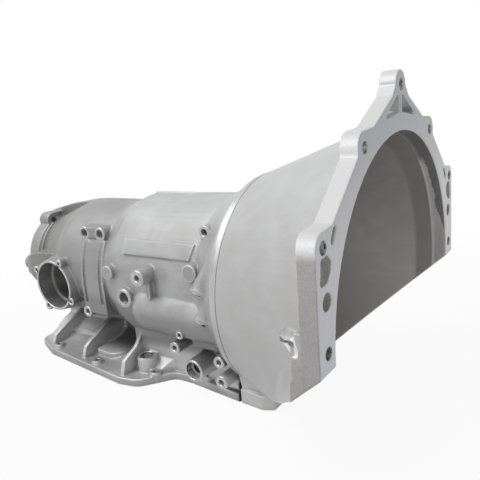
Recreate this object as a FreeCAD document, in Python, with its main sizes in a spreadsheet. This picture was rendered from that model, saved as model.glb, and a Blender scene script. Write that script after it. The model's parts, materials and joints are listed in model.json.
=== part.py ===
# A gearbox housing in two aluminium castings, with the hardware that joins them.
# The main case holds the gear train over an open pan rail. The bell housing bolts to its
# front face and carries the engine flange. The origin is on the gear axis at the joint of
# the two castings: +X points forward to the engine, +Y to the far side and +Z up.
# All sizes are in millimetres.

import FreeCAD
import Part
import math
import os
import re
import Sketcher

Vector = FreeCAD.Vector

# Driving dimensions

SIZES = {
    # Bell housing
    "bell_depth": 173.0,
    "bell_opening_radius": 178.5,
    "bell_lip_depth": 15.5,
    "bell_wall": 9.5,
    "bell_front_radius": 188.0,
    "bell_root_radius": 136.5,
    "ring_radius": 133.5,
    "ring_thickness": 10.5,
    "foot_length": 36.0,
    "foot_half_width": 93.0,
    "foot_height": 19.0,
    "joint_groove_width": 1.6,
    "joint_groove_depth": 2.5,
    "bell_base_length": 28.0,
    "bell_cut_drop": 7.0,
    # Engine flange
    "flange_thickness": 18.0,
    "flange_half_width": 207.0,
    "flange_heel_half_width": 210.5,
    "top_ear_level": 225.0,
    "top_ear_radius": 15.2,
    "upper_bolt_offset": 101.2,
    "upper_bolt_level": 171.9,
    "upper_ear_radius": 15.5,
    "middle_bolt_offset": 193.7,
    "middle_bolt_level": 102.7,
    "middle_ear_radius": 13.4,
    "lower_bolt_offset": 192.4,
    "lower_bolt_level": 10.7,
    "engine_bolt_radius": 5.4,
    "dowel_bore_offset": 190.2,
    "dowel_bore_level": 55.6,
    "dowel_bore_radius": 8.0,
    # Main case barrel
    "case_length": 420.0,
    "barrel_radius": 94.3,
    "front_barrel_radius": 107.5,
    "step_start": 215.0,
    "step_end": 188.0,
    "neck_front": 312.0,
    "neck_rear_radius": 67.0,
    "neck_rib_width": 18.0,
    "flare_start": 42.0,
    "flare_radius": 127.0,
    "face_land": 7.0,
    "pump_bore_radius": 104.0,
    "pump_bore_depth": 26.0,
    "clutch_bore_radius": 99.5,
    "clutch_bore_end": 186.0,
    "gear_bore_radius": 84.0,
    "gear_bore_end": 281.0,
    "rear_bore_radius": 57.0,
    "rear_wall": 34.0,
    "output_bore_radius": 28.0,
    # Rear flange
    "rear_flange_radius": 69.0,
    "rear_flange_thickness": 22.0,
    "rear_bolt_circle": 68.0,
    "rear_ear_radius": 12.0,
    "rear_bolt_radius": 4.2,
    # Pan rail
    "pan_drop": 134.5,
    "rail_thickness": 11.0,
    "rail_width": 20.0,
    "pan_bolt_radius": 3.3,
    "pan_pad_radius": 8.0,
    "pan_pad_height": 4.5,
    "web_thickness": 6.5,
    "deck_margin": 8.0,
    "room_half_width": 60.0,
    "room_depth": 13.5,
    "recess_depth": 5.0,
    "roof_gap": 20.0,
    "front_trunk_length": 186.0,
    # Governor bore
    "governor_back": 318.5,
    "governor_level": -17.5,
    "governor_face": 105.0,
    "governor_radius": 38.6,
    "governor_bore_radius": 35.0,
    "governor_bore_depth": 25.0,
    "governor_inner_radius": 32.0,
    "governor_root_radius": 46.0,
    "governor_bolt_circle": 41.0,
    "governor_ear_radius": 6.2,
    "governor_bolt_radius": 2.7,
    # Ports on the near side
    "filler_back": 154.0,
    "filler_offset": 91.0,
    "filler_radius": 13.5,
    "filler_bore_radius": 9.6,
    "filler_height": 22.0,
    "modulator_back": 54.0,
    "modulator_level": -94.7,
    "modulator_face": 112.0,
    "modulator_radius": 14.5,
    "modulator_bore_radius": 11.0,
    "modulator_inner_radius": 7.5,
    "bulge_radius": 34.0,
    "bulge_offset": 84.0,
    "bulge_level": -29.0,
    "bulge_length": 162.0,
    # Ports on the far side
    "selector_back": 145.0,
    "selector_level": -96.0,
    "selector_face": 99.0,
    "selector_radius": 13.0,
    "selector_bore_radius": 6.4,
    "connector_back": 52.0,
    "connector_level": -94.0,
    "connector_face": 95.0,
    "connector_radius": 14.0,
    "connector_bore_radius": 9.5,
    # Joint hardware
    "joint_circle": 113.5,
    "joint_bolt_radius": 5.0,
    "joint_engagement": 16.0,
    "joint_clearance": 0.4,
    "joint_head_radius": 8.0,
    "joint_head_height": 7.0,
    "joint_dowel_radius": 4.0,
    "joint_dowel_length": 18.0,
    "bushing_wall": 3.0,
    "bushing_length": 26.0,
}

JOINT_BOLTS = 9
JOINT_DOWEL_ANGLES = (60.0, 300.0)
REAR_BOLT_ANGLES = (24, 90, 156, 204, 270, 336)
PAN_BOLTS = (
    ("-case_length + 79.5", "-96"), ("-238", "-109"), ("-134", "-98.5"), ("-60", "-76"),
    ("-12", "-60"), ("-case_length + 79.5", "96"), ("-262", "98"), ("-184", "98"), ("-106", "96"),
    ("-30", "88"), ("-case_length + 32", "-38"), ("-case_length + 32", "38"), ("-12", "20"),
)
# Plain tapped ports on the near side: distance behind the joint, face, level, boss radius and
# length, and hole radius and depth. A hole radius of 0 leaves the boss blank.
PORTS = {
    "twin_port_1": ("258", "82", "61", "10", "34", "5.8", "16"),
    "twin_port_2": ("226", "82", "61", "10", "34", "5.8", "16"),
    "band_port": ("255", "99.5", "-51", "8.5", "30", "4", "14"),
    "blank_boss": ("188", "112", "18", "9.8", "40", "0", "0"),
    "pressure_port": ("116", "127", "23", "10.6", "50", "4.3", "18"),
    "vent_port": ("159", "114", "-13", "13", "40", "8", "24"),
    "ring_port": ("34", "88", "77", "8.5", "40", "4.2", "15"),
    "ring_blank": ("43", "113", "33", "10.5", "40", "0", "0"),
    "small_port": ("66", "117", "-47.5", "5.5", "30", "2.8", "12"),
    "cooler_port_1": ("82", "111", "-70", "8", "50", "3.6", "20"),
    "cooler_port_2": ("15", "109", "-77", "8", "50", "3.6", "20"),
    "cooler_port_3": ("14", "109", "-103", "8.8", "50", "3.8", "20"),
}
FORWARD = (1, 0, 0)
NEAR = (0, -1, 0)
FAR = (0, 1, 0)
UP = (0, 0, 1)

doc = FreeCAD.newDocument("gearbox_housing")


def fill_sheet():
    """Writes every driving dimension into one sheet, under its own name."""
    sheet = doc.addObject("Spreadsheet::Sheet", "Sizes")
    for row, (name, value) in enumerate(SIZES.items(), start=1):
        sheet.set(f"A{row}", name)
        sheet.set(f"B{row}", str(value))
        sheet.setAlias(f"B{row}", name)
    doc.recompute()
    return sheet


SHEET = fill_sheet()


# Helpers that bind a form to the sheet

def bound(formula):
    """Turns the plain size names in a formula into references to the sheet."""
    def reference(match):
        word = match.group()
        return "Sizes." + word if word in SIZES else word
    return re.sub(r"[a-z_]+", reference, str(formula))


def value(formula):
    """Works out a formula of plain size names from the sheet."""
    return float(SHEET.evalExpression(str(formula)))


def bind(item, **formulas):
    for name, formula in formulas.items():
        item.setExpression(name, bound(formula))


def place(item, x, y, z, direction=UP):
    """Puts an object at a bound point, with its own Z axis along a direction."""
    turn = FreeCAD.Rotation(Vector(0, 0, 1), Vector(*direction))
    item.Placement = FreeCAD.Placement(Vector(0, 0, 0), turn)
    item.setExpression("Placement.Base.x", bound(x))
    item.setExpression("Placement.Base.y", bound(y))
    item.setExpression("Placement.Base.z", bound(z))


def cylinder(name, radius, height, x, y, z, direction=UP):
    item = doc.addObject("Part::Cylinder", name)
    bind(item, Radius=radius, Height=height)
    place(item, x, y, z, direction)
    return item


def cone(name, radius_1, radius_2, height, x, y, z, direction=UP):
    item = doc.addObject("Part::Cone", name)
    bind(item, Radius1=radius_1, Radius2=radius_2, Height=height)
    place(item, x, y, z, direction)
    return item


def box(name, length, width, height, x, y, z):
    item = doc.addObject("Part::Box", name)
    bind(item, Length=length, Width=width, Height=height)
    place(item, x, y, z)
    return item


def fuse(name, items):
    item = doc.addObject("Part::MultiFuse", name)
    item.Shapes = items
    item.Refine = True
    return item


def cut(name, base, tool):
    item = doc.addObject("Part::Cut", name)
    item.Base = base
    item.Tool = tool
    item.Refine = True
    return item


def cut_in_turn(name, base, groups):
    """Cuts groups of tools one after the other. The tools in a group don't meet each other."""
    stages = list(groups.items())
    for index, (label, tools) in enumerate(stages, start=1):
        tool = tools[0] if len(tools) == 1 else fuse(f"{name}_{label}", tools)
        base = cut(name if index == len(stages) else f"{name}_after_{label}", base, tool)
    return base


def draw_outline(sketch, corners):
    """Draws a closed outline of straight edges whose corners are bound to formulas."""
    points = [Vector(value(u), value(v), 0) for u, v in corners]
    count = len(points)
    for index in range(count):
        sketch.addGeometry(Part.LineSegment(points[index], points[(index + 1) % count]))
    for index in range(count):
        sketch.addConstraint(Sketcher.Constraint("Coincident", index, 2, (index + 1) % count, 1))
    for index, formulas in enumerate(corners):
        for kind, formula in zip(("DistanceX", "DistanceY"), formulas):
            row = sketch.addConstraint(Sketcher.Constraint(kind, -1, 1, index, 1, value(formula)))
            label = f"corner_{index}_{kind[-1].lower()}"
            sketch.renameConstraint(row, label)
            sketch.setExpression("Constraints." + label, bound(formula))


def prism(name, corners, depth, direction, level):
    """Extrudes a bound outline. Its plane is YZ for FORWARD, XZ for NEAR and XY for UP."""
    turns = {
        FORWARD: FreeCAD.Rotation(Vector(0, 1, 0), Vector(0, 0, 1), Vector(1, 0, 0), "XYZ"),
        NEAR: FreeCAD.Rotation(Vector(1, 0, 0), Vector(0, 0, 1), Vector(0, -1, 0), "XYZ"),
        UP: FreeCAD.Rotation(),
    }
    axis = {FORWARD: "x", NEAR: "y", UP: "z"}[direction]
    sketch = doc.addObject("Sketcher::SketchObject", name + "_outline")
    sketch.Placement = FreeCAD.Placement(Vector(0, 0, 0), turns[direction])
    draw_outline(sketch, corners)
    sketch.setExpression("Placement.Base." + axis, bound(level))
    item = doc.addObject("Part::Extrusion", name)
    item.Base = sketch
    item.DirMode = "Custom"
    item.Dir = Vector(*direction)
    item.Solid = True
    item.setExpression("LengthFwd", bound(depth))
    return item


def loft(name, levels):
    """Joins bound XY outlines at rising levels. Each outline has the same number of corners."""
    outlines = []
    for index, (level, corners) in enumerate(levels):
        sketch = doc.addObject("Sketcher::SketchObject", f"{name}_outline_{index}")
        draw_outline(sketch, corners)
        sketch.setExpression("Placement.Base.z", bound(level))
        outlines.append(sketch)
    item = doc.addObject("Part::Loft", name)
    item.Sections = outlines
    item.Solid = True
    item.Ruled = True
    return item


def turned(name, corners):
    """A body turned about the gear axis from a bound half profile of (x, radius) corners."""
    body = doc.addObject("PartDesign::Body", name + "_body")
    sketch = body.newObject("Sketcher::SketchObject", name + "_profile")
    plane = next(item for item in body.Origin.OriginFeatures if item.Role == "XZ_Plane")
    sketch.AttachmentSupport = [(plane, "")]
    sketch.MapMode = "FlatFace"
    draw_outline(sketch, corners)
    turn = body.newObject("PartDesign::Revolution", name)
    turn.Profile = sketch
    turn.ReferenceAxis = (sketch, ["H_Axis"])
    turn.Angle = 360.0
    doc.recompute()
    return body


def sector(name, radius, length, x, start, sweep):
    """A wedge of a cylinder about the gear axis. Angles rise from the near side towards the top."""
    item = doc.addObject("Part::Cylinder", name)
    bind(item, Radius=radius, Height=length)
    item.Angle = sweep
    turn = FreeCAD.Rotation(Vector(0, -1, 0), Vector(0, 0, -1), Vector(1, 0, 0), "XYZ")
    turn = FreeCAD.Rotation(Vector(1, 0, 0), -start - sweep).multiply(turn)
    item.Placement = FreeCAD.Placement(Vector(0, 0, 0), turn)
    item.setExpression("Placement.Base.x", bound(x))
    return item


def around(radius, degrees):
    """Y and Z of a point about the gear axis, by its angle from the top towards the near side."""
    angle = math.radians(degrees)
    across = f"-({radius}) * {math.sin(angle):.6f}"
    level = f"({radius}) * {math.cos(angle):.6f}"
    return across, level


def rounded_face(corners):
    """A flat face in XY from (x, y, corner radius) values, with each corner rounded to an arc."""
    points = [Vector(x, y, 0) for x, y, _ in corners]
    count = len(points)
    edges = []
    ends = []
    for index, (_, _, radius) in enumerate(corners):
        here = points[index]
        back = (points[index - 1] - here).normalize()
        ahead = (points[(index + 1) % count] - here).normalize()
        half = back.getAngle(ahead) / 2
        reach = radius / math.tan(half)
        middle = (back + ahead).normalize()
        centre = here + middle * (radius / math.sin(half))
        ends.append((here + back * reach, centre - middle * radius, here + ahead * reach, radius))
    for index, (start, middle, end, radius) in enumerate(ends):
        if radius > 0:
            edges.append(Part.Arc(start, middle, end).toShape())
        edges.append(Part.LineSegment(end, ends[(index + 1) % count][0]).toShape())
    return Part.Face(Part.Wire(edges))


def feature(name, shape):
    item = doc.addObject("Part::Feature", name)
    item.Shape = shape
    return item


# Engine flange of the bell housing

def flange_plate():
    """The engine flange: a straight-sided plate with round ears at its upper bolts."""
    side = [
        ("flange_heel_half_width", "-bell_cut_drop - 30"),
        ("flange_half_width", "middle_bolt_level"),
        ("middle_bolt_offset", "middle_bolt_level + middle_ear_radius"),
        ("middle_bolt_offset - 19.5", "middle_bolt_level + middle_ear_radius + 1.5"),
        ("upper_bolt_offset + upper_ear_radius", "upper_bolt_level - 7"),
        ("upper_bolt_offset + upper_ear_radius - 1", "upper_bolt_level"),
        ("upper_bolt_offset", "upper_bolt_level + upper_ear_radius"),
        ("upper_bolt_offset - 25", "upper_bolt_level + upper_ear_radius + 1.5"),
        ("top_ear_radius + 10", "top_ear_level - 11"),
        ("top_ear_radius", "top_ear_level"),
    ]
    far = [(f"{y}", z) for y, z in side]
    near = [(f"-({y})", z) for y, z in reversed(side)]
    depth = "flange_thickness"
    back = "bell_depth - flange_thickness"
    pieces = [prism("flange_plate", far + near, depth, FORWARD, back)]
    pieces.append(cylinder("top_ear", "top_ear_radius", depth, back, "0", "top_ear_level", FORWARD))
    for side_name, sign in (("near", "-"), ("far", "")):
        pieces.append(cylinder(
            f"upper_ear_{side_name}", "upper_ear_radius", depth,
            back, f"{sign}upper_bolt_offset", "upper_bolt_level", FORWARD))
        pieces.append(cylinder(
            f"middle_ear_{side_name}", "middle_ear_radius", depth,
            back, f"{sign}middle_bolt_offset", "middle_bolt_level", FORWARD))
    return pieces


def flange_cutters():
    """Bolt holes, dowel bores and the windows that lighten the flange."""
    depth = "flange_thickness + 2"
    back = "bell_depth - flange_thickness - 1"
    holes = [cylinder("top_hole", "engine_bolt_radius", depth, back, "0", "top_ear_level", FORWARD)]
    for side_name, sign in (("near", "-"), ("far", "")):
        for label, across, level, radius in (
            ("upper", "upper_bolt_offset", "upper_bolt_level", "engine_bolt_radius"),
            ("middle", "middle_bolt_offset", "middle_bolt_level", "engine_bolt_radius"),
            ("lower", "lower_bolt_offset", "lower_bolt_level", "engine_bolt_radius"),
            ("dowel", "dowel_bore_offset", "dowel_bore_level", "dowel_bore_radius"),
        ):
            holes.append(cylinder(
                f"{label}_hole_{side_name}", radius, depth, back, f"{sign}{across}", level, FORWARD))
        truss = [
            (f"{sign}3.2", "top_ear_level - 11"),
            (f"{sign}8", "top_ear_level - 9.5"),
            (f"{sign}44", "top_ear_level - 29"),
            (f"{sign}41", "top_ear_level - 32.5"),
            (f"{sign}3.2", "top_ear_level - 27.5"),
        ]
        pocket = [
            (f"{sign}(middle_bolt_offset + 4)", "middle_bolt_level - 9"),
            (f"{sign}(middle_bolt_offset - 8)", "middle_bolt_level - 8"),
            (f"{sign}(middle_bolt_offset - 14)", "middle_bolt_level - 14"),
            (f"{sign}(middle_bolt_offset - 12)", "middle_bolt_level - 23"),
            (f"{sign}(middle_bolt_offset - 5)", "middle_bolt_level - 31"),
            (f"{sign}(middle_bolt_offset + 5.5)", "middle_bolt_level - 32"),
            (f"{sign}(middle_bolt_offset + 7)", "middle_bolt_level - 28"),
        ]
        slot = [
            (f"{sign}(middle_bolt_offset - 30)", "middle_bolt_level + 13.5"),
            (f"{sign}(middle_bolt_offset - 21.5)", "middle_bolt_level + 12"),
            (f"{sign}(middle_bolt_offset - 15)", "middle_bolt_level + 1"),
            (f"{sign}(middle_bolt_offset - 19)", "middle_bolt_level - 3"),
        ]
        for label, corners in (("truss", truss), ("pocket", pocket), ("slot", slot)):
            holes.append(prism(f"{label}_window_{side_name}", corners, depth, FORWARD, back))
    return holes


def bell_housing():
    outer = turned("bell_outer", [
        ("0", "0"),
        ("0", "ring_radius"),
        ("ring_thickness", "ring_radius"),
        ("ring_thickness", "bell_root_radius"),
        ("bell_depth - flange_thickness", "bell_front_radius"),
        ("bell_depth", "bell_front_radius"),
        ("bell_depth", "0"),
    ])
    back = "bell_depth - flange_thickness"
    solids = [outer] + flange_plate()
    for side_name, sign in (("near", "-"), ("far", "")):
        # Hollow-faced gusset below the flange's outer corner
        levels = []
        for level, root, root_y, hollow, hollow_y, edge in (
            ("-112", "58", "108", "96", "166", "12"),
            ("-82", "76", "132", "106", "172", "13"),
            ("-55", "90", "150", "116", "182", "12.5"),
            ("-35", "104", "162", "126", "190", "12"),
            ("-13", "123", "173", "135", "195", "11"),
            ("-4", "134", "177", "144", "196", "4"),
        ):
            levels.append((level, [
                (root, f"{sign}{root_y}"),
                (hollow, f"{sign}{hollow_y}"),
                (f"{back} - {edge}", f"{sign}flange_heel_half_width"),
                (f"{back} + 2", f"{sign}flange_heel_half_width"),
                (f"{back} + 2", f"{sign}({root_y} - 14)"),
                (root, f"{sign}({root_y} - 14)"),
            ]))
        solids.append(loft(f"gusset_{side_name}", levels))
        solids.append(prism(f"pocket_web_{side_name}", [
            ("131", f"{sign}168"),
            ("134", f"{sign}183"),
            (f"{back} - 2.5", f"{sign}(flange_heel_half_width - 2)"),
            (f"{back} + 2", f"{sign}(flange_heel_half_width - 2)"),
            (f"{back} + 2", f"{sign}168"),
        ], "22", UP, "-5"))
        solids.append(loft(f"pocket_hood_{side_name}", [
            ("11", [
                ("114", f"{sign}168"),
                ("117", f"{sign}180"),
                ("126", f"{sign}186"),
                ("136", f"{sign}186"),
                ("136", f"{sign}168"),
            ]),
            ("20", [
                ("122", f"{sign}168"),
                ("123", f"{sign}177"),
                ("127", f"{sign}179"),
                ("136", f"{sign}182"),
                ("136", f"{sign}168"),
            ]),
        ]))
    below = prism("bell_bottom_cut", [
        ("-5", "-pan_drop"),
        ("bell_base_length", "-pan_drop"),
        ("bell_depth", "-bell_cut_drop"),
        ("bell_depth + 60", "-bell_cut_drop"),
        ("bell_depth + 60", "-pan_drop - 120"),
        ("-5", "-pan_drop - 120"),
    ], "600", NEAR, "300")
    trimmed = cut("bell_trimmed", fuse("bell_solids", solids), below)
    foot = prism("bell_foot", [
        ("0", "-foot_half_width + joint_groove_depth"),
        ("joint_groove_width", "-foot_half_width + joint_groove_depth"),
        ("joint_groove_width", "-foot_half_width"),
        ("foot_length - 2", "-foot_half_width - 3"),
        ("foot_length + 12", "-foot_half_width + 3"),
        ("foot_length + 12", "0"),
        ("foot_length + 2", "foot_half_width - 25"),
        ("foot_length - 10", "foot_half_width"),
        ("joint_groove_width", "foot_half_width"),
        ("joint_groove_width", "foot_half_width - joint_groove_depth"),
        ("0", "foot_half_width - joint_groove_depth"),
    ], "foot_height", UP, "-pan_drop")
    lip_start = "bell_depth - bell_lip_depth"
    inner = turned("bell_inner", [
        ("-1", "0"),
        ("-1", "pump_bore_radius"),
        ("ring_thickness", "pump_bore_radius"),
        ("ring_thickness", "bell_root_radius - bell_wall"),
        (lip_start, "bell_opening_radius"),
        ("bell_depth + 1", "bell_opening_radius"),
        ("bell_depth + 1", "0"),
    ])
    ring_holes = []
    for index in range(JOINT_BOLTS):
        across, level = around("joint_circle", 360.0 * index / JOINT_BOLTS)
        ring_holes.append(cylinder(
            f"ring_hole_{index + 1}", "joint_bolt_radius + joint_clearance",
            "ring_thickness + 2", "-1", across, level, FORWARD))
    for index, angle in enumerate(JOINT_DOWEL_ANGLES, start=1):
        across, level = around("joint_circle", angle)
        ring_holes.append(cylinder(
            f"ring_dowel_{index}", "joint_dowel_radius",
            "joint_dowel_length / 2 + 1", "-1", across, level, FORWARD))
    pocket_holes = []
    for side_name, sign, turn in (("near", "-", 0.77), ("far", "", -0.77)):
        hole = doc.addObject("Part::Prism", f"pocket_hole_{side_name}")
        hole.Polygon = 3
        bind(hole, Circumradius="5.5", Height="19.5")
        place(hole, "129", f"{sign}190", "10", (-0.47, turn, -0.42))
        pocket_holes.append(hole)
    return cut_in_turn("bell_housing", fuse("bell_with_foot", [trimmed, foot]), {
        "inner": [inner],
        "flange_holes": flange_cutters(),
        "ring_holes": ring_holes,
        "pocket_holes": pocket_holes,
    })


# Main case

def rail_corners():
    """The pan rail's outline. It bulges on the near side behind the ports."""
    back = -(value("case_length") - 22)
    return [
        (back - 4, -62, 12),
        (back + 3, -88, 14),
        (back + 50, -107.5, 20),
        (-176, -128.5, 24),
        (-145, -123.5, 26),
        (-112, -82.5, 16),
        (-84, -82.5, 10),
        (0, -93, 0),
        (0, 93, 0),
        (-84, 106, 40),
        (back + 50, 108, 40),
        (back, 92, 16),
    ]


def main_case_outer():
    barrel = turned("barrel", [
        ("-case_length", "0"),
        ("-case_length", "rear_flange_radius"),
        ("-case_length + rear_flange_thickness", "rear_flange_radius"),
        ("-case_length + rear_flange_thickness + 2", "neck_rear_radius - 1"),
        ("-case_length + rear_flange_thickness + 10", "neck_rear_radius"),
        ("-neck_front - 33", "barrel_radius - 12"),
        ("-neck_front - 6", "barrel_radius - 2"),
        ("-neck_front + 6", "barrel_radius"),
        ("-step_start", "barrel_radius"),
        ("-step_end", "front_barrel_radius - 2"),
        ("-flare_start", "front_barrel_radius + 0.5"),
        ("-face_land", "flare_radius"),
        ("0", "flare_radius"),
        ("0", "0"),
    ])
    solids = [barrel]
    rail = feature("pan_rail", rounded_face(rail_corners()).extrude(Vector(0, 0, value("rail_thickness"))))
    place(rail, "0", "0", "-pan_drop")
    solids.append(rail)
    front_trunk = box(
        "front_trunk", "front_trunk_length", "156", "pan_drop - 62",
        "-front_trunk_length", "-78", "-pan_drop + 1")
    neck_rib = prism("neck_rib", [
        ("-case_length + 2", "50"),
        ("-case_length + 2", "rear_flange_radius + 6.5"),
        ("-case_length + rear_flange_thickness", "rear_flange_radius + 11"),
        ("-case_length + 50", "barrel_radius - 8"),
        ("-neck_front - 20", "barrel_radius - 2.5"),
        ("-neck_front + 5", "barrel_radius - 0.5"),
        ("-neck_front + 5", "50"),
    ], "neck_rib_width", NEAR, "neck_rib_width / 2")
    solids += [pan_deck(), front_trunk, neck_rib]
    rear = -value("case_length") + 158
    front = rear + 49
    corner = rounded_face([(rear, -20, 0), (rear, -90, 6), (front, -94, 20), (front, -20, 0)])
    block = feature("deck_block", corner.extrude(Vector(0, 0, 12)))
    place(block, "0", "0", "-pan_drop + 7.5")
    solids.append(block)
    return solids


# Half profiles of the deck from its rim to the barrel: distance from the middle, and height
# above the pan face. The last corner reaches into the barrel.
DECK_REAR = ((96, 11), (75, 14.5), (58, 19.3), (56.5, 23), (43, 30.9), (29, 37.5), (27, 74.5))
DECK_MIDDLE = ((94, 11), (90, 12.1), (62, 17.9), (39, 20.9), (25, 28), (22, 74.5))
DECK_FRONT = ((100, 10), (97, 12), (86, 20), (68, 36), (60, 64.5))


def deck_part(name, half, length, start):
    """One length of the deck, alike on both sides."""
    near = [(f"-{y}", f"-pan_drop + {z}") for y, z in half]
    far = [(f"{y}", f"-pan_drop + {z}") for y, z in reversed(half)]
    floor = [(f"{half[0][0]}", "-pan_drop + 2"), (f"-{half[0][0]}", "-pan_drop + 2")]
    return prism(name, near + far + floor, length, FORWARD, start)


def pan_deck():
    """The sloped deck that joins the pan rail to the barrel. It stays inside the rail's rim."""
    parts = [
        deck_part("deck_rear", DECK_REAR, "124", "-case_length + 26"),
        deck_part("deck_middle", DECK_MIDDLE, "105", "-case_length + 149"),
        deck_part("deck_front", DECK_FRONT, "76", "-case_length + 248"),
    ]
    rim = rounded_face(rail_corners()).makeOffset2D(-value("deck_margin"))
    reach = feature("deck_reach", rim.extrude(Vector(0, 0, 100)))
    place(reach, "0", "0", "-pan_drop + 1")
    deck = doc.addObject("Part::MultiCommon", "pan_deck")
    deck.Shapes = [fuse("deck_parts", parts), reach]
    return deck


# Each web: its rear face, then its crest from the rail up to the barrel, as the distance from
# the middle and the height above the pan face.
WEBS = (
    ("-case_length + 62", (
        (96.8, 10), (96.8, 16.7), (91.8, 26), (79.3, 32.3), (61.3, 39.7), (42.9, 47.2), (27.3, 56.2))),
    ("-case_length + 147", (
        (109, 10), (106.9, 18.3), (102.8, 27.3), (92.1, 33.4), (74.5, 41), (55.8, 51.3), (37.3, 58.1))),
    ("-filler_back - 24", (
        (122.5, 10), (120.5, 18), (116.2, 29.5), (105.9, 34.7), (91.9, 41), (81.8, 51.8),
        (75, 61.6), (69.7, 82.1))),
)


def webs():
    """Upright webs that carry the pan rail from the underside of the barrel."""
    solids = []
    for index, (back, crest) in enumerate(WEBS, start=1):
        for side_name, sign in (("near", "-"), ("far", "")):
            inward = crest[0][0] - 98 if side_name == "far" and crest[0][0] > 98 else 0
            corners = [(f"{sign}{y - inward:.1f}", f"-pan_drop + {z}") for y, z in crest]
            corners += [(f"{sign}20", f"-pan_drop + {crest[-1][1]}"), (f"{sign}20", "-pan_drop + 3")]
            corners += [(f"{sign}{crest[0][0] - inward - 2:.1f}", "-pan_drop + 3")]
            solids.append(prism(
                f"web_{index}_{side_name}", corners, "web_thickness", FORWARD, back))
    return solids


def port(name, x, face, z, radius, length, hole, depth, side=NEAR):
    """A round boss with a drilled hole that faces out of one side. Returns solids and cutters."""
    sign = "-" if side == NEAR else ""
    inward = FAR if side == NEAR else NEAR
    boss = cylinder(name, radius, length, x, f"{sign}({face})", z, inward)
    outside = f"{sign}({face} + 1)"
    cutters = []
    if value(hole) > 0:
        cutters.append(cylinder(name + "_hole", hole, f"{depth} + 1", x, outside, z, inward))
    return [boss], cutters


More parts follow.
